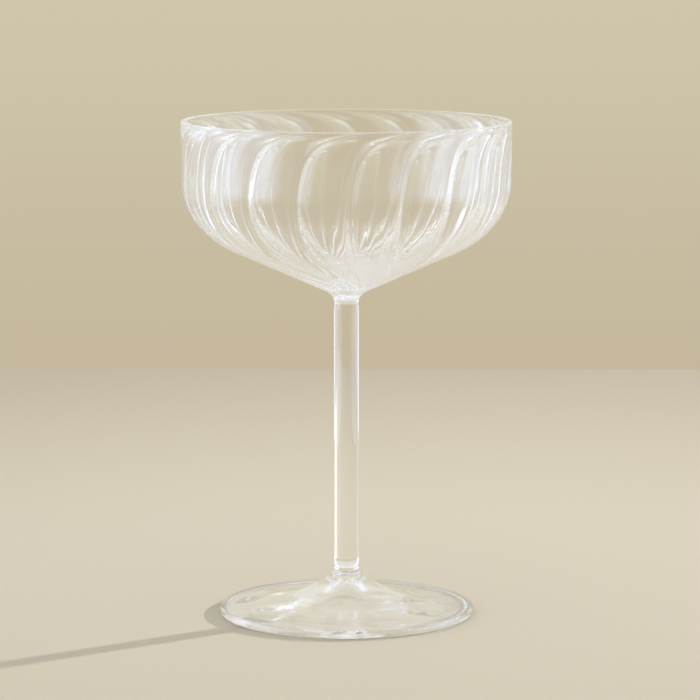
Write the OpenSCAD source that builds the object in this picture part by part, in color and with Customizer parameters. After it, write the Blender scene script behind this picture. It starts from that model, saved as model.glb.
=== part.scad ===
// Coupe glass of clear hot-worked glass, in millimetres, +Z up.
// The origin is the centre of the ring that the foot stands on.
// The pieces are stacked from the foot upwards and meet face to face where the glass is fused.

/* [Foot] */
// Outer diameter of the foot
foot_d = 82.5; // [70:0.5:95]
// Height of the foot's dome where the collar sits
foot_h = 12; // [9:0.5:18]
// Thickness of the rolled rim of the foot
foot_rim_t = 2.8; // [2:0.1:4.5]
// How much of the rolled rim is ground flat underneath
foot_ground = 0.12; // [0.05:0.01:0.3]
// Height of the hollow under the foot at its middle
foot_hollow_h = 9.5; // [5:0.1:10]
// How hollow the top of the dome is drawn: 1 is a straight cone
foot_sweep = 2.45; // [1.2:0.05:3.5]
// How hollow the underside is drawn: 1 is a straight cone
foot_under_sweep = 2.2; // [1.1:0.05:2.6]

/* [Foot collar] */
// Height of the flared collar between the foot and the stem
foot_collar_h = 3.2; // [2:0.1:6]
// How far the collar flares out on each side
foot_collar_flare = 1.7; // [0.8:0.1:3]

/* [Stem] */
// Diameter of the solid rod
stem_d = 8; // [6:0.5:12]
// Length of the rod between its two collars
stem_l = 86.3; // [40:0.1:130]
// Length over which the rod narrows to the waist under the bowl
stem_draw_l = 2.5; // [1:0.5:8]

/* [Bowl collar] */
// Diameter of the waist between the stem and the bowl
waist_d = 7.8; // [5.5:0.1:11]
// Height of the drop of glass between the stem and the bowl
bowl_collar_h = 1.7; // [1:0.1:3]

/* [Bowl] */
// Outer diameter at the lip
lip_d = 106; // [90:1:125]
// Height of the nearly straight wall under the lip
wall_h = 19.2; // [10:0.1:35]
// How far the wall draws in on each side from the lip to the shoulder
wall_draw = 0.25; // [0:0.05:1]
// How far the shoulder's curve would reach in from the wall
shoulder_run = 32.6; // [25:0.1:38]
// How far the shoulder's curve would drop
shoulder_drop = 26.1; // [18:0.1:34]
// Slope of the bottom cone, from level
cone_angle = 23.7; // [16:0.1:32]
// How far the neck's curve would reach out from the waist
neck_run = 9; // [6:0.1:12]
// How far the neck's curve would rise from the waist
neck_rise = 5; // [4:0.1:8]

/* [Bowl glass thickness] */
// Thickness of the fire-polished lip
lip_t = 1.4; // [1:0.1:2.2]
// Thickness of the wall between two ribs
wall_t = 1.2; // [0.8:0.1:2]
// Thickness of the bottom cone where it reaches the floor
base_t = 2.6; // [1.5:0.1:3.5]
// Outer radius at which the bottom cone turns into the rounded floor
floor_r = 9; // [7:0.1:14]

/* [Ribs] */
// Number of optic ribs round the bowl
rib_count = 19; // [12:1:24]
// How far a rib's crest stands in from the wall
rib_h = 1.4; // [0.3:0.1:2]
// How hollow a rib's flanks are: 1 is straight
rib_hollow = 2.5; // [1:0.5:4]
// Azimuth of one rib at the shoulder
rib_azimuth = -92; // [-180:1:180]
// Twist of the ribs at the lip
lip_twist = 30; // [0:1:60]
// Depth under the lip at which that twist is down to a half
lip_twist_depth = 2.6; // [1:0.1:8]
// Twist of the ribs where the cone has half the shoulder's radius
cone_twist = 9.5; // [0:0.5:30]
// Depth under the lip over which the ribs fade in
rib_fade_depth = 3; // [1:0.5:8]

/* [Hidden] */
glass = "azure";
overrun = 1;
$fn = 120;

// Rings and facets of the curved surfaces
arc_steps = 18;
facets_per_rib = 7;
ring_facets = rib_count * facets_per_rib;

// Heights of the four fused joints and of the lip
foot_collar_z = foot_h;
stem_z = foot_collar_z + foot_collar_h;
bowl_collar_z = stem_z + stem_l;
bowl_z = bowl_collar_z + bowl_collar_h;

// The neck is a quarter ellipse that starts upright at the waist. The collar takes its lowest part.
waist_r = waist_d / 2;
neck_end = atan2(neck_rise, neck_run * tan(cone_angle));
neck_joint = asin(bowl_collar_h / neck_rise);
function neck_point(t) = [waist_r + neck_run * (1 - cos(t)), bowl_collar_z + neck_rise * sin(t)];

// The shoulder is a quarter ellipse that starts upright at the wall and ends on the cone's slope
shoulder_end = atan2(shoulder_drop, shoulder_run * tan(cone_angle));
lip_r = lip_d / 2;
wall_r = lip_r - wall_draw;
shoulder_r = wall_r - shoulder_run;
cone_top_r = shoulder_r + shoulder_run * cos(shoulder_end);
cone_foot = neck_point(neck_end);
cone_top_z = cone_foot[1] + (cone_top_r - cone_foot[0]) * tan(cone_angle);
shoulder_z = cone_top_z + shoulder_drop * sin(shoulder_end);
lip_z = shoulder_z + wall_h;
function shoulder_point(t) = [shoulder_r + shoulder_run * cos(t), shoulder_z - shoulder_drop * sin(t)];

// The lip is rounded on both edges and keeps a narrow flat between them
lip_round_share = 0.45;
lip_round = lip_t * lip_round_share;

// Evenly spaced shares from 0 to 1
function shares(steps) = [for (i = [0:steps]) i / steps];

// Points of a round edge, from one angle to another about a centre
function arc(centre, radius, from, to, steps) = [
    for (s = shares(steps)) centre + radius * [cos(from + (to - from) * s), sin(from + (to - from) * s)]
];

// Twist of the ribs against the shoulder: strong under the lip, none at the shoulder, strong at the neck
function lip_twist_at(depth) = lip_twist / (1 + depth / lip_twist_depth);
function cone_twist_at(radius) = cone_twist * max(wall_r / radius - 1, 0);

// A station of the cavity is a point of the outer surface, the outward normal there, the glass
// thickness between ribs, the share of the rib's height, and the twist
function wall_station(s) =
    let (depth = lip_round + (wall_h - lip_round) * s * s)
    [
        [lip_r - wall_draw * depth / wall_h, lip_z - depth],
        [1, 0],
        wall_t + (lip_t - wall_t) * (1 - min(depth / rib_fade_depth, 1)),
        min((depth - lip_round) / rib_fade_depth, 1),
        lip_twist_at(depth)
    ];
function shoulder_station(s) =
    let (t = shoulder_end * s)
    let (p = shoulder_point(t))
    let (n = [cos(t) / shoulder_run, -sin(t) / shoulder_drop])
    [p, n / norm(n), cone_thickness(p[0]), 1, lip_twist_at(lip_z - p[1]) + cone_twist_at(p[0])];
function cone_station(s) =
    let (r = cone_top_r * pow(floor_r / cone_top_r, s))
    [
        [r, cone_top_z - (cone_top_r - r) * tan(cone_angle)],
        [sin(cone_angle), -cos(cone_angle)],
        cone_thickness(r),
        1,
        lip_twist_at(lip_z - cone_top_z) + cone_twist_at(r)
    ];
function cone_thickness(r) = base_t + (wall_t - base_t) * (r - floor_r) / (wall_r - floor_r);

// Height share of the rib profile at an angle from the middle of a rib: two hollow flanks and a crest
rib_pitch = 360 / rib_count;
function rib_share(angle) =
    let (part = angle / rib_pitch - floor(angle / rib_pitch))
    pow(abs(2 * part - 1), rib_hollow);

// One ring of the cavity at a station, inside the ribs
function ring(station) = [
    for (i = [0:ring_facets - 1])
        let (angle = i * 360 / ring_facets)
        let (depth = station[2] + rib_h * station[3] * rib_share(angle))
        let (p = station[0] - depth * station[1])
        let (azimuth = angle + rib_azimuth + station[4])
        [p[0] * cos(azimuth), p[0] * sin(azimuth), p[1]]
];

// A plain ring of the same facets
function plain_ring(radius, z, twist) = [
    for (i = [0:ring_facets - 1])
        let (azimuth = i * 360 / ring_facets + rib_azimuth + twist)
        [radius * cos(azimuth), radius * sin(azimuth), z]
];

// The floor is a shallow bowl that leaves the cone's last ring on the cone's slope and loses the ribs
function floor_ring(last, share) = [
    for (p = last)
        let (r = norm([p[0], p[1]]))
        let (lift = r * tan(cone_angle) * (1 - share * share) / 2)
        let (even = floor_z + floor_inner_r * tan(cone_angle) * share * share / 2)
        let (own = p[2] - lift)
        [p[0] * share, p[1] * share, even + (own - even) * share]
];
floor_station = cone_station(1);
floor_inner = floor_station[0] - floor_station[2] * floor_station[1];
floor_inner_r = floor_inner[0];
floor_z = floor_inner[1] - floor_inner_r * tan(cone_angle) / 2;

// Closed surface through rings of equal count, from the top ring to the point at the bottom
module skin(rings, tip) {
    count = len(rings[0]);
    points = concat([for (r = rings) for (p = r) p], [tip]);
    last = (len(rings) - 1) * count;
    sides = [
        for (k = [0:len(rings) - 2])
            for (i = [0:count - 1])
                let (a = k * count + i)
                let (b = k * count + (i + 1) % count)
                for (f = [[a, b, a + count], [b, b + count, a + count]]) f
    ];
    lid = [[for (i = [0:count - 1]) count - 1 - i]];
    bottom = [for (i = [0:count - 1]) [last + i, last + (i + 1) % count, last + count]];
    polyhedron(points = points, faces = concat(lid, sides, bottom));
}

// The inside of the bowl, with the ribs left standing in it
module cavity() {
    edge_r = lip_r - lip_t + lip_round;
    edge = arc([edge_r, lip_z - lip_round], lip_round, 90, 180, 3);
    wall_steps = 10;
    shoulder_steps = 10;
    cone_steps = 10;
    floor_shares = [0.8, 0.55, 0.3, 0.12];
    stations = concat(
        [for (s = shares(wall_steps)) wall_station(s)],
        [for (k = [1:shoulder_steps]) shoulder_station(k / shoulder_steps)],
        [for (k = [1:cone_steps]) cone_station(k / cone_steps)]
    );
    last = ring(stations[len(stations) - 1]);
    rings = concat(
        [plain_ring(edge_r, lip_z + overrun, lip_twist)],
        [for (k = [0:len(edge) - 2]) plain_ring(edge[k][0], edge[k][1], lip_twist)],
        [for (s = stations) ring(s)],
        [for (s = floor_shares) floor_ring(last, s)]
    );
    skin(rings, [0, 0, floor_z]);
}

// The blown outer form as one turned outline, from the weld face at the neck to the lip
module bowl_form() {
    edge_r = lip_r - lip_round;
    rotate_extrude()
        polygon(concat(
            [[0, bowl_z]],
            [for (s = shares(arc_steps)) neck_point(neck_joint + (neck_end - neck_joint) * s)],
            [for (s = shares(arc_steps)) shoulder_point(shoulder_end * (1 - s))],
            arc([edge_r, lip_z - lip_round], lip_round, 0, 90, 4),
            [[0, lip_z]]
        ));
}

// Blown bowl with twisted optic ribs inside
module bowl() {
    color(glass)
        difference() {
            bowl_form();
            cavity();
        }
}

// Drop of glass that joins the bowl's neck to the stem
module bowl_collar() {
    color(glass)
        rotate_extrude()
            polygon(concat(
                [[0, bowl_collar_z]],
                [for (s = shares(arc_steps)) neck_point(neck_joint * s)],
                [[0, bowl_z]]
            ));
}

// Solid rod, drawn in a little where it meets the waist
module stem() {
    color(glass)
        rotate_extrude()
            polygon([
                [0, stem_z],
                [stem_d / 2, stem_z],
                [stem_d / 2, bowl_collar_z - stem_draw_l],
                [waist_r, bowl_collar_z],
                [0, bowl_collar_z]
            ]);
}

// The collar's flare is an arc that leaves the rod upright and ends on the dome
flare_r = (foot_collar_flare * foot_collar_flare + foot_collar_h * foot_collar_h) / (2 * foot_collar_flare);
flare_end = asin(foot_collar_h / flare_r);
dome_top_r = stem_d / 2 + foot_collar_flare;

// Flared drop of glass that joins the stem to the foot
module foot_collar() {
    color(glass)
        rotate_extrude()
            polygon(concat(
                [[0, foot_collar_z]],
                arc([stem_d / 2 + flare_r, stem_z], flare_r, 180 + flare_end, 180, arc_steps),
                [[0, stem_z]]
            ));
}

// The rolled rim is a ring whose underside is ground flat, and the dome runs up from its crest
rim_r = foot_rim_t / 2;
rim_centre = [foot_d / 2 - rim_r, rim_r - foot_ground];
rim_crest_z = rim_centre[1] + rim_r;
function dome_z(s) = rim_crest_z + (foot_h - rim_crest_z) * pow(1 - s, foot_sweep);

// The underside leaves the rolled rim low down, so that the foot stays thick enough beside it
hollow_angle = 215;
hollow_r = rim_centre[0] + rim_r * cos(hollow_angle);
hollow_edge_z = rim_centre[1] + rim_r * sin(hollow_angle);
function hollow_z(s) = hollow_edge_z + (foot_hollow_h - hollow_edge_z) * pow(1 - s, foot_under_sweep);

// Spun foot: a low dome with a rolled rim, hollow underneath
module foot() {
    ground_angle = acos(rim_centre[1] / rim_r);
    color(glass)
        rotate_extrude()
            polygon(concat(
                [[0, foot_hollow_h]],
                [for (s = shares(arc_steps)) if (s > 0 && s < 1) [hollow_r * s, hollow_z(s)]],
                arc(rim_centre, rim_r, hollow_angle, 270 - ground_angle, 6),
                arc(rim_centre, rim_r, 270 + ground_angle, 450, 16),
                [for (s = shares(arc_steps)) if (s > 0) [
                    rim_centre[0] + (dome_top_r - rim_centre[0]) * s,
                    dome_z(1 - s)
                ]],
                [[0, foot_h]]
            ));
}

bowl();
bowl_collar();
stem();
foot_collar();
foot();
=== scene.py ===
"""A coupe glass of clear hot-worked glass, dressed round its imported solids: a spun foot, a flared collar,
a solid rod, a drop of glass under the bowl, and a blown bowl with twisted optic ribs."""

import math

import bpy
import numpy as np
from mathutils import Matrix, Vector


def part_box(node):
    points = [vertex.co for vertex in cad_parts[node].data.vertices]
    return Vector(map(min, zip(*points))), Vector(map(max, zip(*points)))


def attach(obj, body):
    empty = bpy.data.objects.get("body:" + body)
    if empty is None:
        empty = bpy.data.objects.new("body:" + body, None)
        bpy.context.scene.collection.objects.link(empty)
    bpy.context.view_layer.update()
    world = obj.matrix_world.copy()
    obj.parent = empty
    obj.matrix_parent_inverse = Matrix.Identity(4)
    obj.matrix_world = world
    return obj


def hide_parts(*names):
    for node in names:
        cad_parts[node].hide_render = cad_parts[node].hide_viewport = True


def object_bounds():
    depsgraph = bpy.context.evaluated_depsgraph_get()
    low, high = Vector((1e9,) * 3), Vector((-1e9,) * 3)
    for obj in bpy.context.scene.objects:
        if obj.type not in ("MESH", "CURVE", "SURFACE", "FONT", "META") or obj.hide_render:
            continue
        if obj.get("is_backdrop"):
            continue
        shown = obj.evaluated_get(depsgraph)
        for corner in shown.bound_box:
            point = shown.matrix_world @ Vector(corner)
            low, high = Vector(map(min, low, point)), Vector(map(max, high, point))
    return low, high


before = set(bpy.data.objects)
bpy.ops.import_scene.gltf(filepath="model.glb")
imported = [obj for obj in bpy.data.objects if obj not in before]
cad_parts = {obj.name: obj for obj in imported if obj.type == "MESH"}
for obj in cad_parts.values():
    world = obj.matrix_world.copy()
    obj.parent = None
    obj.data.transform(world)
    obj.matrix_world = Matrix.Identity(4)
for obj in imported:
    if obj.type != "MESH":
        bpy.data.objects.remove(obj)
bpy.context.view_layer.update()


# The foot is a gather of soda-lime glass spun open while hot, so its dome sweeps up to the middle and
# its rim has drawn itself into a thick round roll. It stands on a ring ground flat under that roll.

MM = 0.001
FOOT_RIM_T = 2.8 * MM
FOOT_GROUND = 0.12 * MM
FOOT_HOLLOW_H = 9.5 * MM
FOOT_SWEEP = 2.45
FOOT_UNDER_SWEEP = 2.2
FOOT_HOLLOW_ANGLE = 215
FOOT_TURNS = 288
DOME_STEPS = 60
UNDER_ROLL_STEPS = 8
ROLL_STEPS = 26
STRAIGHT_DOWN = 270
STRAIGHT_UP = 450
GLASS_WHITE = "#FFFFFF"
SODA_LIME_IOR = 1.5
SHADOW_LEVEL = 0.1
DOME_SHADOW_LEVEL = 1.35
FACING_DOWN = -0.05
SMOOTH_RIM_R = 37.0 * MM
RIM_SHADOW_EDGE = 1.5 * MM
RIPPLE_EDGE = 2.0 * MM
RIPPLE_SPACING = 2.0 * MM
RIPPLE_ROUND = 2.5
RIPPLE_DETAIL = 1.5
RIPPLE_H = 0.03 * MM
DENT_SPACING = 100.0 * MM / 7
DENT_H = 1.0 * MM
WELD_FLATNESS = 0.999
WELD_PLAY = 0.01 * MM


def linear(hex_colour):
    """An sRGB hex colour as linear red, green, blue and 1, by the sRGB curve."""
    srgb = np.array([int(hex_colour[i : i + 2], 16) for i in (1, 3, 5)]) / 255
    low, high = srgb / 12.92, ((srgb + 0.055) / 1.055) ** 2.4
    return (*np.where(srgb <= 0.04045, low, high).tolist(), 1.0)


def add(tree, kind, links=(), **settings):
    """Adds a node, gives it its settings, and links (input, source) pairs into it, where a source is a
    socket, or a node that stands for its first output."""
    node = tree.nodes.new(kind)
    for name, value in settings.items():
        if name.startswith("in_"):
            key = name[3:]
            node.inputs[int(key) if key.isdigit() else key.replace("_", " ")].default_value = value
        else:
            setattr(node, name, value)
    for key, source in links:
        socket = source.outputs[0] if isinstance(source, bpy.types.Node) else source
        tree.links.new(socket, node.inputs[key])
    return node


def arc(centre, radius, start, end, steps):
    """Points on a circle about centre, evenly spaced between two angles in degrees."""
    angle = np.radians(np.linspace(start, end, steps))
    return np.stack([centre[0] + radius * np.cos(angle), centre[1] + radius * np.sin(angle)], 1)


def turned(name, outline, turns, warp=None):
    """A closed surface of revolution: point (i, j) is outline point i at azimuth j turns of the whole circle,
    with both ends of the outline on the axis, where the rings shrink to one point each. warp takes the
    grid of radius, azimuth and height and returns them moved."""
    ring = outline[1:-1]
    azimuth = np.broadcast_to(np.arange(turns) * 2 * np.pi / turns, (len(ring), turns))
    radius = np.repeat(ring[:, :1], turns, 1)
    height = np.repeat(ring[:, 1:], turns, 1)
    if warp is not None:
        radius, azimuth, height = warp(radius, azimuth, height)
    grid = np.stack([radius * np.cos(azimuth), radius * np.sin(azimuth), height], 2).reshape(-1, 3)
    poles = np.array([[0, 0, outline[0, 1]], [0, 0, outline[-1, 1]]])
    i, j = np.meshgrid(np.arange(len(ring) - 1), np.arange(turns), indexing="ij")
    here, beside = i * turns + j, i * turns + (j + 1) % turns
    quads = np.stack([here, beside, beside + turns, here + turns], 2).reshape(-1, 4)
    column = np.arange(turns)
    start, end = len(grid), len(grid) + 1
    last = (len(ring) - 1) * turns
    caps = [
        np.stack([np.full(turns, start), (column + 1) % turns, column], 1),
        np.stack([last + column, last + (column + 1) % turns, np.full(turns, end)], 1),
    ]
    faces = [*quads.tolist(), *caps[0].tolist(), *caps[1].tolist()]
    mesh = bpy.data.meshes.new(name)
    mesh.from_pydata(np.concatenate([grid, poles]), [], faces)
    mesh.shade_smooth()
    piece = bpy.data.objects.new(name, mesh)
    bpy.context.scene.collection.objects.link(piece)
    return piece


def fit(piece, material, node):
    """Gives a piece its material, sets it on the fused glass, and lets it stand for its solid."""
    piece.data.materials.append(material)
    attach(piece, "root")
    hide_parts(node)


def glass(name, bump=None, shadow=None):
    """Clear glass with a fire-polished skin: it shows no colour of its own, only the sharp, bent images of
    the room. It is open to the rays that look for lamps, which keep SHADOW_LEVEL of the light where they
    enter the glass and all of it where they leave. bump takes the node tree and returns the normal's
    socket, and shadow takes it and returns the share that is kept, where that varies."""
    material = bpy.data.materials.new(name)
    material.use_nodes = True
    tree = material.node_tree
    tree.nodes.clear()
    surface = add(
        tree, "ShaderNodeBsdfPrincipled", in_Base_Color=linear(GLASS_WHITE), in_Roughness=0.0,
        in_IOR=SODA_LIME_IOR, in_Transmission_Weight=1.0,
    )
    if bump is not None:
        tree.links.new(bump(tree), surface.inputs["Normal"])
    path = add(tree, "ShaderNodeLightPath")
    side = add(tree, "ShaderNodeNewGeometry")
    left = add(
        tree, "ShaderNodeMath", [(0, side.outputs["Backfacing"])], operation="MAXIMUM", in_1=SHADOW_LEVEL
    )
    if shadow is not None:
        tree.links.new(shadow(tree), left.inputs[1])
    clear = add(tree, "ShaderNodeBsdfTransparent", [("Color", left)])
    mix = add(
        tree, "ShaderNodeMixShader", [(0, path.outputs["Is Shadow Ray"]), (1, surface), (2, clear)]
    )
    add(tree, "ShaderNodeOutputMaterial", [("Surface", mix)])
    return material


def weld_glass():
    """The plane where two hot pieces of the same glass have become one: light goes straight through it, so
    the eye finds no face there."""
    material = bpy.data.materials.new("fused_glass_weld")
    material.use_nodes = True
    tree = material.node_tree
    tree.nodes.clear()
    clear = add(tree, "ShaderNodeBsdfTransparent", in_Color=linear(GLASS_WHITE))
    add(tree, "ShaderNodeOutputMaterial", [("Surface", clear)])
    return material


weld = weld_glass()


def fuse(piece, *heights):
    """Gives the weld's material to the flat faces at these heights, where the piece meets its neighbour."""
    piece.data.materials.append(weld)
    count = len(piece.data.polygons)
    centre = np.zeros(count * 3)
    normal = np.zeros(count * 3)
    piece.data.polygons.foreach_get("center", centre)
    piece.data.polygons.foreach_get("normal", normal)
    flat = np.abs(normal[2::3]) > WELD_FLATNESS
    joint = np.min(np.abs(centre[2::3, None] - np.array(heights)), 1) < WELD_PLAY
    piece.data.polygons.foreach_set("material_index", (flat & joint).astype(np.int32))


def from_axis(tree):
    """The vector from the axis to a point of the object, level with the table, and its length."""
    place = add(tree, "ShaderNodeTexCoord")
    flat = add(
        tree, "ShaderNodeVectorMath", [(0, place.outputs["Object"])], operation="MULTIPLY", in_1=(1, 1, 0)
    )
    away = add(tree, "ShaderNodeVectorMath", [(0, flat)], operation="LENGTH")
    return flat, away.outputs["Value"]


def spun_ripple(tree):
    """The skin of a foot spun open by hand, which breaks the table's image into arcs and glints: rings, as
    noise that changes fast with the radius and slowly round the axis, over shallow uneven dents."""
    flat, away = from_axis(tree)
    side = add(tree, "ShaderNodeVectorMath", [(0, flat)], operation="NORMALIZE")
    slow = add(tree, "ShaderNodeVectorMath", [(0, side)], operation="SCALE", in_Scale=RIPPLE_ROUND)
    rings = add(tree, "ShaderNodeMath", [(0, away)], operation="MULTIPLY", in_1=1 / RIPPLE_SPACING)
    lift = add(tree, "ShaderNodeCombineXYZ", [("Z", rings)])
    both = add(tree, "ShaderNodeVectorMath", [(0, slow), (1, lift)])
    noise = add(tree, "ShaderNodeTexNoise", [("Vector", both)], in_Scale=1.0, in_Detail=RIPPLE_DETAIL)
    dome = add(
        tree, "ShaderNodeMapRange", [("Value", away)], in_1=SMOOTH_RIM_R, in_2=SMOOTH_RIM_R - RIPPLE_EDGE
    )
    place = add(tree, "ShaderNodeTexCoord")
    dents = add(
        tree, "ShaderNodeTexNoise", [("Vector", place.outputs["Object"])], in_Scale=1 / DENT_SPACING,
        in_Detail=0.0,
    )
    uneven = add(tree, "ShaderNodeBump", [("Height", dents), ("Strength", dome)], in_Distance=DENT_H)
    return add(
        tree, "ShaderNodeBump", [("Height", noise), ("Strength", dome), ("Normal", uneven)],
        in_Distance=RIPPLE_H,
    ).outputs[0]


def dome_shadow(tree):
    """The share of light kept on the way to the table. Where it would leave the foot through the rim or the
    top it is mostly bent away, and some of that is gathered on the table under the dome, where a face
    that looks down keeps all of it and a little more."""
    normal = add(tree, "ShaderNodeNewGeometry")
    split = add(tree, "ShaderNodeSeparateXYZ", [(0, normal.outputs["Normal"])])
    down = add(tree, "ShaderNodeMapRange", [("Value", split.outputs["Z"])], in_1=0.0, in_2=FACING_DOWN)
    in_rim = add(
        tree, "ShaderNodeMapRange", [("Value", from_axis(tree)[1])],
        in_1=SMOOTH_RIM_R, in_2=SMOOTH_RIM_R + RIM_SHADOW_EDGE, in_3=DOME_SHADOW_LEVEL, in_4=SHADOW_LEVEL,
    )
    return add(
        tree, "ShaderNodeMapRange", [("Value", down), ("To Max", in_rim)], in_3=SHADOW_LEVEL
    ).outputs[0]


foot_low, foot_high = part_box("foot")
rim_r = FOOT_RIM_T / 2
rim_centre = np.array([foot_high.x - rim_r, rim_r - FOOT_GROUND])
rim_crest = rim_centre[1] + rim_r
collar_low, collar_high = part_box("foot_collar")
share = np.linspace(0, 1, DOME_STEPS)[:, None]
hollow_edge = arc(rim_centre, rim_r, FOOT_HOLLOW_ANGLE, FOOT_HOLLOW_ANGLE, 1)[0]
hollow = np.hstack([
    hollow_edge[0] * share,
    hollow_edge[1] + (FOOT_HOLLOW_H - hollow_edge[1]) * (1 - share) ** FOOT_UNDER_SWEEP,
])
dome = np.hstack([
    rim_centre[0] + (collar_high.x - rim_centre[0]) * share,
    rim_crest + (foot_high.z - rim_crest) * share**FOOT_SWEEP,
])
ground = math.degrees(math.acos(rim_centre[1] / rim_r))
foot_outline = np.concatenate([
    hollow[:-1],
    arc(rim_centre, rim_r, FOOT_HOLLOW_ANGLE, STRAIGHT_DOWN - ground, UNDER_ROLL_STEPS),
    arc(rim_centre, rim_r, STRAIGHT_DOWN + ground, STRAIGHT_UP, ROLL_STEPS)[:-1],
    dome,
    [[0, foot_high.z]],
])
foot = turned("spun_foot", foot_outline, FOOT_TURNS)
fit(foot, glass("spun_soda_lime_glass", spun_ripple, dome_shadow), "foot")
fuse(foot, foot_high.z)


# The pontil's seat inside the foot is a ring of tiny air bubbles, trapped where the first drop of hot glass
# was pressed on to the foot under the stem. Their skins are a little uneven, so they glint.

SEAT_R = 5.5 * MM
SEAT_Z = 10.2 * MM
SEAT_SPREAD = 0.6 * MM
SEAT_BUBBLES = 240
SEAT_SEED = 3
BUBBLE_R = (0.12 * MM, 0.33 * MM)
BUBBLE_PLAY = 0.4
BUBBLE_BANDS = 8
BUBBLE_SIDES = 12
AIR_IN_GLASS_IOR = 1 / SODA_LIME_IOR
BUBBLE_ROUGHNESS = 0.08


def air_in_glass():
    """Air seen from inside the glass: its index is the inverse of the glass's, so each bubble is a bright
    bead with a dark edge."""
    material = bpy.data.materials.new("trapped_air_bubble")
    material.use_nodes = True
    tree = material.node_tree
    tree.nodes.clear()
    surface = add(
        tree, "ShaderNodeBsdfPrincipled", in_Base_Color=linear(GLASS_WHITE), in_Roughness=BUBBLE_ROUGHNESS,
        in_IOR=AIR_IN_GLASS_IOR, in_Transmission_Weight=1.0,
    )
    add(tree, "ShaderNodeOutputMaterial", [("Surface", surface)])
    return material


air_bubble = air_in_glass()


def bubble_ring(name, ring_r, ring_z, spread, height, count, seed):
    """Closed spheres on a ring: azimuths evenly spaced with a little play, and distances from the ring and
    radii spread evenly over their ranges. Point (i, j) of a sphere is at slant i and at turn j."""
    rng = np.random.default_rng(seed)
    turn = (np.arange(count) + rng.uniform(-BUBBLE_PLAY, BUBBLE_PLAY, count)) * 2 * np.pi / count
    away = ring_r + rng.uniform(-spread, spread, count)
    lift = ring_z + rng.uniform(-height, height, count)
    size = rng.uniform(*BUBBLE_R, count)
    centre = np.stack([away * np.cos(turn), away * np.sin(turn), lift], 1)
    slant = np.pi * np.arange(1, BUBBLE_BANDS) / BUBBLE_BANDS
    side = 2 * np.pi * np.arange(BUBBLE_SIDES) / BUBBLE_SIDES
    bands = np.stack([
        np.outer(np.sin(slant), np.cos(side)),
        np.outer(np.sin(slant), np.sin(side)),
        np.repeat(np.cos(slant)[:, None], BUBBLE_SIDES, 1),
    ], 2).reshape(-1, 3)
    ball = np.concatenate([bands, [[0, 0, 1], [0, 0, -1]]])
    top, bottom = len(bands), len(bands) + 1
    last = top - BUBBLE_SIDES
    j = np.arange(BUBBLE_SIDES)
    beside = (j + 1) % BUBBLE_SIDES
    here = np.arange(0, last, BUBBLE_SIDES)[:, None]
    quads = np.stack([
        here + j, here + BUBBLE_SIDES + j, here + BUBBLE_SIDES + beside, here + beside,
    ], 2).reshape(-1, 4)
    caps = np.concatenate([
        np.stack([np.full(BUBBLE_SIDES, top), j, beside], 1),
        np.stack([np.full(BUBBLE_SIDES, bottom), last + beside, last + j], 1),
    ])
    first = (np.arange(count) * len(ball))[:, None, None]
    point = (centre[:, None] + size[:, None, None] * ball).reshape(-1, 3)
    faces = [*(first + quads).reshape(-1, 4).tolist(), *(first + caps).reshape(-1, 3).tolist()]
    mesh = bpy.data.meshes.new(name)
    mesh.from_pydata(point, [], faces)
    mesh.shade_smooth()
    mesh.materials.append(air_bubble)
    bubbles = bpy.data.objects.new(name, mesh)
    # As clear as the glass round them, they stop none of the rays that look for lamps
    bubbles.visible_shadow = False
    bpy.context.scene.collection.objects.link(bubbles)
    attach(bubbles, "root")


bubble_ring("foot_seat_bubbles", SEAT_R, SEAT_Z, SEAT_SPREAD, SEAT_SPREAD, SEAT_BUBBLES, SEAT_SEED)


# The foot collar is a small drop of hot glass that fuses the rod to the foot. It flares from the rod's
# width to the top of the dome, and surface tension has drawn the flare into an arc.

ROD_TURNS = 144
FLARE_STEPS = 24

rod_low, rod_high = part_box("stem")
flare = collar_high.x - rod_high.x
flare_h = collar_high.z - collar_low.z
flare_r = (flare**2 + flare_h**2) / (2 * flare)
flare_end = math.degrees(math.asin(flare_h / flare_r))
foot_collar = turned(
    "foot_collar_drop",
    np.concatenate([
        [[0, collar_low.z]],
        arc((rod_high.x + flare_r, collar_high.z), flare_r, 180 + flare_end, 180, FLARE_STEPS),
        [[0, collar_high.z]],
    ]),
    ROD_TURNS,
)
# Melted smooth by the flame, the drop has no marks of its own and only bends the rod's bright edges outwards
fit(foot_collar, glass("fused_drop_glass"), "foot_collar")
fuse(foot_collar, collar_low.z, collar_high.z)


# The stem is a solid rod of glass, drawn by hand, so its skin keeps faint lines along its length.
# It narrows a little at the top, where it was softened to take the bowl.

WAIST_D = 7.8 * MM
STEM_DRAW_L = 2.5 * MM
ROD_STEPS = 30
DRAW_STEPS = 8
# The real lines are finer than the render can show, so these are drawn three in 5 mm round the rod
ROD_LINE_SPACING = 5.0 * MM / 3
ROD_LINE_L = 250.0 * MM / 3
ROD_LINE_DETAIL = 1.0
ROD_LINE_H = 0.1 * MM
ROD_LINE_STRENGTH = 0.15


def drawn_lines(tree):
    """Faint lines along the rod, many times longer than they are wide, which only waver its bright edges."""
    place = add(tree, "ShaderNodeTexCoord")
    along = add(
        tree, "ShaderNodeMapping", [("Vector", place.outputs["Object"])],
        in_Scale=(1 / ROD_LINE_SPACING, 1 / ROD_LINE_SPACING, 1 / ROD_LINE_L),
    )
    noise = add(tree, "ShaderNodeTexNoise", [("Vector", along)], in_Scale=1.0, in_Detail=ROD_LINE_DETAIL)
    return add(
        tree, "ShaderNodeBump", [("Height", noise)], in_Strength=ROD_LINE_STRENGTH, in_Distance=ROD_LINE_H
    ).outputs[0]


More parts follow.
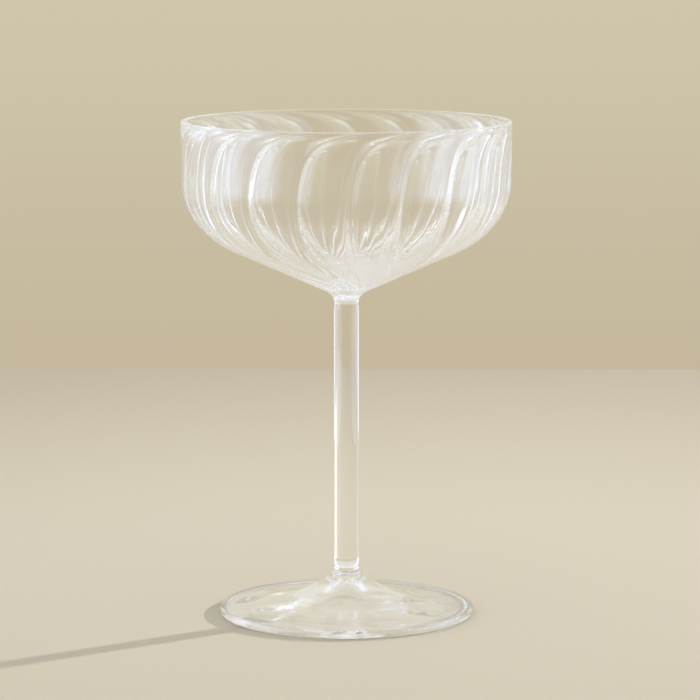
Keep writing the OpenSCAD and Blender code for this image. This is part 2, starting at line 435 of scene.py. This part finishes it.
rod_r = rod_high.x
step = np.linspace(0, 1, ROD_STEPS)[:, None]
rod_side = np.hstack([np.full_like(step, rod_r), rod_low.z + (rod_high.z - STEM_DRAW_L - rod_low.z) * step])
draw = np.linspace(0, 1, DRAW_STEPS)[1:, None]
rod_draw = np.hstack([
    rod_r + (WAIST_D / 2 - rod_r) * draw,
    rod_high.z - STEM_DRAW_L * (1 - draw),
])
stem = turned(
    "solid_rod_stem",
    np.concatenate([[[0, rod_low.z]], rod_side, rod_draw, [[0, rod_high.z]]]),
    ROD_TURNS,
)
fit(stem, glass("drawn_rod_glass", drawn_lines), "stem")
fuse(stem, rod_low.z, rod_high.z)


# The bowl collar is the drop of glass that fuses the rod to the bowl's neck. It is the lowest part of
# the neck's curve, from the waist up to the weld, where a row of tiny bubbles was trapped.

NECK_RUN = 9.0 * MM
NECK_RISE = 5.0 * MM
DROP_STEPS = 16

drop_low, drop_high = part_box("bowl_collar")


def neck(angle):
    """The neck's quarter ellipse, upright at the waist, as points at angles in radians."""
    return np.stack([
        WAIST_D / 2 + NECK_RUN * (1 - np.cos(angle)),
        drop_low.z + NECK_RISE * np.sin(angle),
    ], 1)


neck_joint = math.asin((drop_high.z - drop_low.z) / NECK_RISE)
bowl_collar = turned(
    "bowl_collar_drop",
    np.concatenate([[[0, drop_low.z]], neck(np.linspace(0, neck_joint, DROP_STEPS)), [[0, drop_high.z]]]),
    ROD_TURNS,
)
# Melted smooth as well, this drop shows as a clear lens between the rod and the bowl
fit(bowl_collar, glass("fused_bowl_drop_glass"), "bowl_collar")
fuse(bowl_collar, drop_low.z, drop_high.z)


# A second, thinner ring of air bubbles lies just over the weld between the drop and the bowl's neck,
# where the two hot faces closed on the air between them.

NECK_BUBBLE_R = 3.7 * MM
NECK_BUBBLE_RISE = 0.35 * MM
NECK_BUBBLE_SPREAD = 0.15 * MM
NECK_BUBBLE_PLAY = 0.02 * MM
NECK_BUBBLES = 46
NECK_SEED = 7
bubble_ring(
    "neck_bubbles", NECK_BUBBLE_R, drop_high.z + NECK_BUBBLE_RISE, NECK_BUBBLE_SPREAD, NECK_BUBBLE_PLAY,
    NECK_BUBBLES, NECK_SEED,
)


# The bowl is blown in a ribbed optic mould, then blown on in the open, so the outside has gone smooth
# and the ribs stand inside. Turning it while soft twisted the ribs, most at the neck and under the lip.

LIP_R = 53.0 * MM
CONE_ANGLE = math.radians(23.7)
SHOULDER_RUN = 32.6 * MM
SHOULDER_DROP = 26.1 * MM
WALL_H = 19.2 * MM
WALL_DRAW = 0.25 * MM
LIP_T = 1.4 * MM
WALL_T = 1.2 * MM
BASE_T = 2.6 * MM
FLOOR_R = 9.0 * MM
LIP_ROUND_SHARE = 0.45
RIB_COUNT = 19
RIB_H = 1.4 * MM
RIB_AZIMUTH = math.radians(-92)
CREST_ROUND_SHARE = 0.05
RIDGE_SHARE = 0.3
RIDGE_WIDTH_SHARE = 0.075
LIP_TWIST = math.radians(30)
LIP_TWIST_DEPTH = 2.6 * MM
CONE_TWIST = math.radians(9.5)
RIB_FADE_DEPTH = 3.0 * MM
LIP_RIDGE_WIDER = 2.0
LIP_RIDGE_DEPTH = 5.0 * MM
COLUMNS_PER_RIB = 26
COLUMN_CROWDING = 0.4
WALL_STEPS = 40
WALL_STEP_GROWTH = 1.6
CURVE_STEPS = 37
FLOOR_STEPS = 13
NECK_STEPS = 12
OUTER_CURVE_STEPS = 34
LIP_STEPS = 9
# The real lines are as fine as hairs and wouldn't show, so these are coarser: eleven in 50 mm round the bowl
LINE_SPACING = 50.0 * MM / 11
LINE_L = 1000.0 * MM / 7
LINE_WIDTH = 0.2
LINE_H = 0.04 * MM
WAVE_H = 0.15 * MM
OUTSIDE_LINES = 0.25
NOISE_MIDDLE = 0.5

bowl_low, bowl_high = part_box("bowl")
lip_z = bowl_high.z
wall_r = LIP_R - WALL_DRAW
neck_end = math.atan2(NECK_RISE, NECK_RUN * math.tan(CONE_ANGLE))
shoulder_end = math.atan2(SHOULDER_DROP, SHOULDER_RUN * math.tan(CONE_ANGLE))
shoulder_z = lip_z - WALL_H
lip_round = LIP_T * LIP_ROUND_SHARE


def shoulder(angle):
    """The shoulder's quarter ellipse, upright at the wall, and its outward normals."""
    point = np.stack([
        wall_r - SHOULDER_RUN + SHOULDER_RUN * np.cos(angle),
        shoulder_z - SHOULDER_DROP * np.sin(angle),
    ], 1)
    normal = np.stack([np.cos(angle) / SHOULDER_RUN, -np.sin(angle) / SHOULDER_DROP], 1)
    return point, normal / np.linalg.norm(normal, axis=1, keepdims=True)


def blown_thickness(radius):
    """Glass between ribs: thin at the wall, growing evenly to the floor's thickness down the cone."""
    return BASE_T + (WALL_T - BASE_T) * (radius - FLOOR_R) / (wall_r - FLOOR_R)


def twist(radius, height):
    """How far the ribs have turned: as the inverse of the depth under the lip, and down the cone as the
    inverse of the radius, both counted from the shoulder."""
    lip = LIP_TWIST / (1 + np.maximum(lip_z - height, 0) / LIP_TWIST_DEPTH)
    return lip + CONE_TWIST * np.maximum(wall_r / np.maximum(radius, FLOOR_R) - 1, 0)


def bowl_inside():
    """The inner surface from the lip down to the floor, as the outer surface set in by the glass's
    thickness along its normal. Returns points, inward directions and each one's share of the rib."""
    depth = lip_round + (WALL_H - lip_round) * np.linspace(0, 1, WALL_STEPS) ** WALL_STEP_GROWTH
    wall = np.stack([LIP_R - WALL_DRAW * depth / WALL_H, lip_z - depth], 1)
    wall_normal = np.tile([1.0, 0.0], (len(wall), 1))
    wall_t = WALL_T + (LIP_T - WALL_T) * (1 - np.minimum(depth / RIB_FADE_DEPTH, 1))
    wall_rib = np.minimum((depth - lip_round) / RIB_FADE_DEPTH, 1)
    curve, curve_normal = shoulder(np.linspace(0, shoulder_end, CURVE_STEPS)[1:])
    top = curve[-1]
    radius = top[0] * (FLOOR_R / top[0]) ** np.linspace(0, 1, CURVE_STEPS)[1:]
    cone = np.stack([radius, top[1] - (top[0] - radius) * math.tan(CONE_ANGLE)], 1)
    cone_normal = np.tile([math.sin(CONE_ANGLE), -math.cos(CONE_ANGLE)], (len(cone), 1))
    below = np.concatenate([curve, cone])
    point = np.concatenate([wall, below])
    normal = np.concatenate([wall_normal, curve_normal, cone_normal])
    thickness = np.concatenate([wall_t, blown_thickness(below[:, 0])])
    rib = np.concatenate([wall_rib, np.ones(len(below))])
    return point - thickness[:, None] * normal, normal, rib


inside, inside_normal, rib_share = bowl_inside()
floor_r = inside[-1, 0]
floor_drop = floor_r * math.tan(CONE_ANGLE) / 2
floor_share = np.linspace(1, 0, FLOOR_STEPS)[1:]
floor = np.stack([floor_r * floor_share, inside[-1, 1] - floor_drop * (1 - floor_share**2)], 1)
floor_normal = np.tile(inside_normal[-1], (len(floor), 1))
outside = np.concatenate([
    [[0, bowl_low.z]],
    neck(np.linspace(neck_joint, neck_end, NECK_STEPS)),
    shoulder(np.linspace(shoulder_end, 0, OUTER_CURVE_STEPS))[0],
    arc((LIP_R - lip_round, lip_z - lip_round), lip_round, 0, 90, LIP_STEPS),
])
lip_inside = arc((LIP_R - LIP_T + lip_round, lip_z - lip_round), lip_round, 90, 180, LIP_STEPS)[:-1]
bowl_outline = np.concatenate([outside, lip_inside, inside, floor])
outer_count = len(outside) + len(lip_inside)
push = np.zeros((len(bowl_outline), 2))
push[outer_count:] = -np.concatenate([inside_normal, floor_normal])
rib_part = np.zeros(len(bowl_outline))
rib_part[outer_count:] = np.concatenate([rib_share, floor_share])
inner = np.arange(len(bowl_outline)) >= len(outside)


def stand_ribs(radius, azimuth, height):
    """Crowds the columns of points towards the middle of each rib, turns them with the twist on the inside,
    and moves the inside in by the rib's height times its profile: two hollow flanks, each a parabola that
    starts level between the ribs, with a narrow bell-shaped ridge where they meet."""
    part = (azimuth * RIB_COUNT / (2 * np.pi) + 0.5) % 1 - 0.5
    rib = azimuth * RIB_COUNT / (2 * np.pi) - part
    part = part * (COLUMN_CROWDING + (1 - COLUMN_CROWDING) * (2 * part) ** 2)
    flank = np.sqrt((2 * part) ** 2 + CREST_ROUND_SHARE**2) - CREST_ROUND_SHARE
    bump = np.clip(1 - flank, 0, 1) ** 2
    wider = 1 + LIP_RIDGE_WIDER * np.exp((height - lip_z) / LIP_RIDGE_DEPTH)
    ridge = np.exp(-((part / (RIDGE_WIDTH_SHARE * wider)) ** 2))
    rise = RIB_H * rib_part[1:-1, None] * (bump * (1 - RIDGE_SHARE) + ridge * RIDGE_SHARE)
    way = push[1:-1]
    turn = np.where(inner[1:-1, None], twist(radius, height), LIP_TWIST)
    return (
        radius + rise * way[:, :1],
        (rib + part) * 2 * np.pi / RIB_COUNT + RIB_AZIMUTH + turn,
        height + rise * way[:, 1:],
    )


def blown_lines(tree):
    """Lines in the glass, drawn out along the ribs, which give the bowl its fine bright strokes: ridges where
    a noise on the untwisted place of each point passes its middle value, and the noise's own waves."""
    place = add(tree, "ShaderNodeAttribute", attribute_name="untwisted")
    along = add(
        tree, "ShaderNodeMapping", [("Vector", place.outputs["Vector"])],
        in_Scale=(1 / LINE_SPACING, 1 / LINE_SPACING, 1 / LINE_L),
    )
    noise = add(tree, "ShaderNodeTexNoise", [("Vector", along)], in_Scale=1.0, in_Detail=0.0)
    off = add(tree, "ShaderNodeMath", [(0, noise)], operation="SUBTRACT", in_1=NOISE_MIDDLE)
    size = add(tree, "ShaderNodeMath", [(0, off)], operation="ABSOLUTE")
    line = add(tree, "ShaderNodeMapRange", [("Value", size)], in_1=LINE_WIDTH, in_2=0.0)
    strength = add(tree, "ShaderNodeAttribute", attribute_name="lines").outputs["Fac"]
    waves = add(tree, "ShaderNodeBump", [("Height", noise), ("Strength", strength)], in_Distance=WAVE_H)
    return add(
        tree, "ShaderNodeBump", [("Height", line), ("Normal", waves), ("Strength", strength)],
        in_Distance=LINE_H,
    ).outputs[0]


bowl = turned("blown_optic_bowl", bowl_outline, RIB_COUNT * COLUMNS_PER_RIB, stand_ribs)
place = np.zeros(len(bowl.data.vertices) * 3)
bowl.data.vertices.foreach_get("co", place)
place = place.reshape(-1, 3)
away = np.hypot(place[:, 0], place[:, 1])
turn_back = np.arctan2(place[:, 1], place[:, 0]) - twist(away, place[:, 2])
untwisted = np.stack([wall_r * np.cos(turn_back), wall_r * np.sin(turn_back), place[:, 2] + away], 1)
bowl.data.attributes.new("untwisted", "FLOAT_VECTOR", "POINT").data.foreach_set("vector", untwisted.ravel())
# Where the ribs crowd together, down the cone and in the shear under the lip, the lines are shallower
depth = np.maximum(lip_z - place[:, 2], 0)
shear = wall_r * LIP_TWIST / LIP_TWIST_DEPTH / (1 + depth / LIP_TWIST_DEPTH) ** 2
lines = np.append(np.repeat(np.where(inner[1:-1], 1.0, OUTSIDE_LINES), RIB_COUNT * COLUMNS_PER_RIB), (0, 1))
lines *= away / wall_r / np.sqrt(1 + shear**2)
bowl.data.attributes.new("lines", "FLOAT", "POINT").data.foreach_set("value", lines)
fit(bowl, glass("blown_optic_glass", blown_lines), "bowl")
fuse(bowl, bowl_low.z)


# The table is a plain matt top in warm off-white, and the room behind it is a plain beige wall.
# Its far edge is where the wall begins in the photograph's view.

TABLE_BACK = 547.0 * MM
TABLE_SIDE = 330.0 * MM
# The table's own colour near the glass, and its colour far out with painted shade, where the light falls off
TABLE_NEAR = "#D6CDB7"
TABLE_FAR_PAINTED_SHADE = "#B8AC96"
TABLE_PAINTED_SHADE_CENTRE = (0, 50 * MM, 0)
TABLE_PAINTED_FALLOFF = 80 * MM, 600 * MM
TABLE_ROUGHNESS = 0.6
TABLE_SPECULAR = 0.2


def matt_table_painted_falloff():
    """Matt paint in a soft even tone, with painted shade: its colour darkens towards the edges and the wall,
    where the light falls off, between two distances from a point just behind the glass."""
    material = bpy.data.materials.new("matt_warm_white_table_painted_falloff")
    material.use_nodes = True
    tree = material.node_tree
    tree.nodes.clear()
    place = add(tree, "ShaderNodeTexCoord")
    distance = add(
        tree, "ShaderNodeVectorMath", [(0, place.outputs["Object"])], operation="DISTANCE",
        in_1=TABLE_PAINTED_SHADE_CENTRE,
    )
    # Painted shade: the colour darkens with distance from that point, standing in for the light's falloff
    painted_falloff = add(
        tree, "ShaderNodeMapRange", [("Value", distance.outputs["Value"])],
        in_1=TABLE_PAINTED_FALLOFF[0], in_2=TABLE_PAINTED_FALLOFF[1], interpolation_type="SMOOTHSTEP",
    )
    colour = add(
        tree, "ShaderNodeMix", [("Factor", painted_falloff)], data_type="RGBA",
        in_6=linear(TABLE_NEAR), in_7=linear(TABLE_FAR_PAINTED_SHADE),
    )
    surface = add(
        tree, "ShaderNodeBsdfPrincipled", [("Base Color", colour.outputs[2])],
        in_Roughness=TABLE_ROUGHNESS, in_Specular_IOR_Level=TABLE_SPECULAR,
    )
    add(tree, "ShaderNodeOutputMaterial", [("Surface", surface)])
    return material


table = bpy.data.objects.new("table", bpy.data.meshes.new("table"))
corners = [
    (-TABLE_SIDE, -TABLE_SIDE, 0), (TABLE_SIDE, -TABLE_SIDE, 0),
    (TABLE_SIDE, TABLE_BACK, 0), (-TABLE_SIDE, TABLE_BACK, 0),
]
table.data.from_pydata(corners, [], [[0, 1, 2, 3]])
table.data.materials.append(matt_table_painted_falloff())
bpy.context.scene.collection.objects.link(table)
table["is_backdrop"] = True


# The soft light comes from the room: beige behind and in front, paler above, and with a broad white window
# light at each side, which only the glass shows.

SKY_LEVEL = 0.7
# Angle from straight behind in degrees, and the room's colour there at the height of the glass
ROOM = [
    (0, "#CFC7AC"), (14, "#CFC7AC"), (30, "#CFC7B2"), (48, "#DCD7C9"), (68, "#FFFFFF"),
    (126, "#FFFFFF"), (150, "#CFC8B4"), (180, "#BDB49C"),
]
WALL_LOW = "#C5B89D"
ABOVE = "#E2E0D3"
HIGH = "#FFFFFF"
CEILING = "#DADAD8"
WINDOW_LIGHT = (0.97, 1.28, 2.0, 1)
WINDOW_RIGHT_SHARE = 0.8
WINDOW_MIDDLE = 0.1
WINDOW_LEAN = 0.75
# Each step goes smoothly from 0 to 1 between two heights on the unit sphere round the glass
STEPS_UP = {
    "below": (-0.02, -0.15), "above": (-0.01, 0.16), "high": (0.35, 0.6), "overhead": (0.7, 0.9),
    "over table": (0.0, 0.3), "over sill": (-0.36, -0.14), "under top": (0.75, 0.5),
}
# And each of these between two angles from straight behind, in degrees
STEPS_AWAY = {"behind": (60, 20), "in front": (80, 120), "window front": (138, 122)}
WINDOW_BACK = (56, 80)

world = bpy.data.worlds.new("room")
bpy.context.scene.world = world
# Found by the rays that scatter off the table and not by shadow rays, so that none of it is counted twice
world.cycles.sampling_method = "NONE"
world.use_nodes = True
tree = world.node_tree
tree.nodes.clear()

path = add(tree, "ShaderNodeLightPath")
place = add(tree, "ShaderNodeTexCoord")
split = add(tree, "ShaderNodeSeparateXYZ", [(0, place.outputs["Generated"])])
up = split.outputs["Z"]
turn = add(tree, "ShaderNodeMath", [(0, split.outputs["X"]), (1, split.outputs["Y"])], operation="ARCTAN2")
away = add(tree, "ShaderNodeMath", [(0, turn)], operation="ABSOLUTE")
lean = add(tree, "ShaderNodeMath", [(0, up)], operation="MULTIPLY", in_1=WINDOW_LEAN)
leaning = add(tree, "ShaderNodeMath", [(0, away), (1, lean)], operation="ADD")
steps = {name: (up, ends) for name, ends in STEPS_UP.items()}
steps.update({name: (away, np.radians(ends)) for name, ends in STEPS_AWAY.items()})
steps["window back"] = (leaning, np.radians(WINDOW_BACK))
step = {
    name: add(
        tree, "ShaderNodeMapRange", [("Value", source)], in_1=ends[0], in_2=ends[1],
        interpolation_type="SMOOTHSTEP",
    )
    for name, (source, ends) in steps.items()
}

share = add(tree, "ShaderNodeMath", [(0, away)], operation="DIVIDE", in_1=math.pi)
round_room = add(tree, "ShaderNodeValToRGB", [("Fac", share)])
stops = round_room.color_ramp.elements
for index, (angle, colour) in enumerate(ROOM):
    stop = stops[index] if index < len(stops) else stops.new(angle / 180)
    stop.position = angle / 180
    stop.color = linear(colour)
low = add(tree, "ShaderNodeMath", [(0, step["below"]), (1, step["behind"])], operation="MULTIPLY")
front = add(tree, "ShaderNodeMath", [(0, step["over table"]), (1, step["in front"])], operation="MULTIPLY")
ceiling = add(tree, "ShaderNodeMath", [(0, front), (1, step["overhead"])], operation="MAXIMUM")
seen = round_room.outputs[0]
for amount, colour in [(low, WALL_LOW), (step["above"], ABOVE), (step["high"], HIGH), (ceiling, CEILING)]:
    seen = add(
        tree, "ShaderNodeMix", [("Factor", amount), (6, seen)], data_type="RGBA", in_7=linear(colour)
    ).outputs[2]
room = add(tree, "ShaderNodeBackground", [("Color", seen)], in_Strength=1.0)

in_glass = add(
    tree, "ShaderNodeMath", [(0, path.outputs["Is Glossy Ray"]), (1, path.outputs["Is Transmission Ray"])],
    operation="MAXIMUM",
)
window = add(
    tree, "ShaderNodeMapRange", [("Value", split.outputs["X"])],
    in_1=-WINDOW_MIDDLE, in_2=WINDOW_MIDDLE, in_3=1.0, in_4=WINDOW_RIGHT_SHARE,
)
for part in (step["window back"], step["window front"], step["over sill"], step["under top"], in_glass):
    window = add(tree, "ShaderNodeMath", [(0, window), (1, part)], operation="MULTIPLY")
lights = add(tree, "ShaderNodeBackground", [("Strength", window)], in_Color=WINDOW_LIGHT)

both = add(tree, "ShaderNodeAddShader", [(0, room), (1, lights)])
soft = add(tree, "ShaderNodeBackground", in_Color=(1, 1, 1, 1), in_Strength=SKY_LEVEL)
off_matt = add(tree, "ShaderNodeMath", [(0, path.outputs["Diffuse Depth"])], operation="MINIMUM", in_1=1.0)
outer = add(tree, "ShaderNodeMixShader", [(0, off_matt), (1, both), (2, soft)])
add(tree, "ShaderNodeOutputWorld", [("Surface", outer)])


# The key is one small hard lamp, low and behind to the right, that throws the stem's long thin shadow. The
# glass's shadow comes from its own shadow level, so a ray from the table through the glass gets no lamp.

KEY_AZIMUTH = math.radians(36)
KEY_ELEVATION = math.radians(20)
KEY_DISTANCE = 4.0
KEY_SIZE = 0.1
KEY_POWER = 145.0
NO_MATT_BOUNCE = 0.5

key = bpy.data.objects.new("key_lamp", bpy.data.lights.new("key_lamp", "AREA"))
key.data.shape = "DISK"
key.data.size = KEY_SIZE
key.data.energy = KEY_POWER
key.location = (
    KEY_DISTANCE * math.cos(KEY_AZIMUTH) * math.cos(KEY_ELEVATION),
    KEY_DISTANCE * math.sin(KEY_AZIMUTH) * math.cos(KEY_ELEVATION),
    KEY_DISTANCE * math.sin(KEY_ELEVATION),
)
key.rotation_euler = (math.pi / 2 - KEY_ELEVATION, 0, KEY_AZIMUTH + math.pi / 2)
key.data.use_nodes = True
tree = key.data.node_tree
tree.nodes.clear()
path = add(tree, "ShaderNodeLightPath")
direct = add(
    tree, "ShaderNodeMath", [(0, path.outputs["Diffuse Depth"])], operation="LESS_THAN", in_1=NO_MATT_BOUNCE
)
glow = add(tree, "ShaderNodeEmission", [("Strength", direct)], in_Color=(1, 1, 1, 1))
add(tree, "ShaderNodeOutputLight", [("Surface", glow)])
bpy.context.scene.collection.objects.link(key)


# The camera is a long lens about a metre away, half as high again as the glass, and tilted down.

CAMERA_DISTANCE = 1098.5 * MM
CAMERA_HEIGHT = 239.4 * MM
CAMERA_PITCH = 0.1388
CAMERA_YAW = 0.00105
FOCAL_PIXELS = 3443.0
PHOTO_WIDTH = 700
SENSOR_WIDTH = 36.0
CLIP_START = 0.05
CLIP_END = 20.0
# Enough for light that crosses the ribs, the rod and the foot many times before it gets out
BOUNCES = 96

camera = bpy.data.objects.new("camera", bpy.data.cameras.new("camera"))
camera.data.sensor_width = SENSOR_WIDTH
camera.data.lens = FOCAL_PIXELS / PHOTO_WIDTH * SENSOR_WIDTH
camera.data.clip_start = CLIP_START
camera.data.clip_end = CLIP_END
camera.location = (0, -CAMERA_DISTANCE, CAMERA_HEIGHT)
camera.rotation_euler = (math.pi / 2 - CAMERA_PITCH, 0, -CAMERA_YAW)
bpy.context.scene.collection.objects.link(camera)
bpy.context.scene.camera = camera
bpy.context.scene.view_settings.view_transform = "Standard"
# The normals seen through the glass only mislead the denoiser, which would keep its grain as detail
bpy.context.scene.cycles.denoising_input_passes = "RGB_ALBEDO"
bpy.context.scene.cycles.max_bounces = BOUNCES
bpy.context.scene.cycles.transmission_bounces = BOUNCES
bpy.context.scene.cycles.glossy_bounces = BOUNCES
bpy.context.scene.cycles.transparent_max_bounces = BOUNCES

low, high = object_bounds()
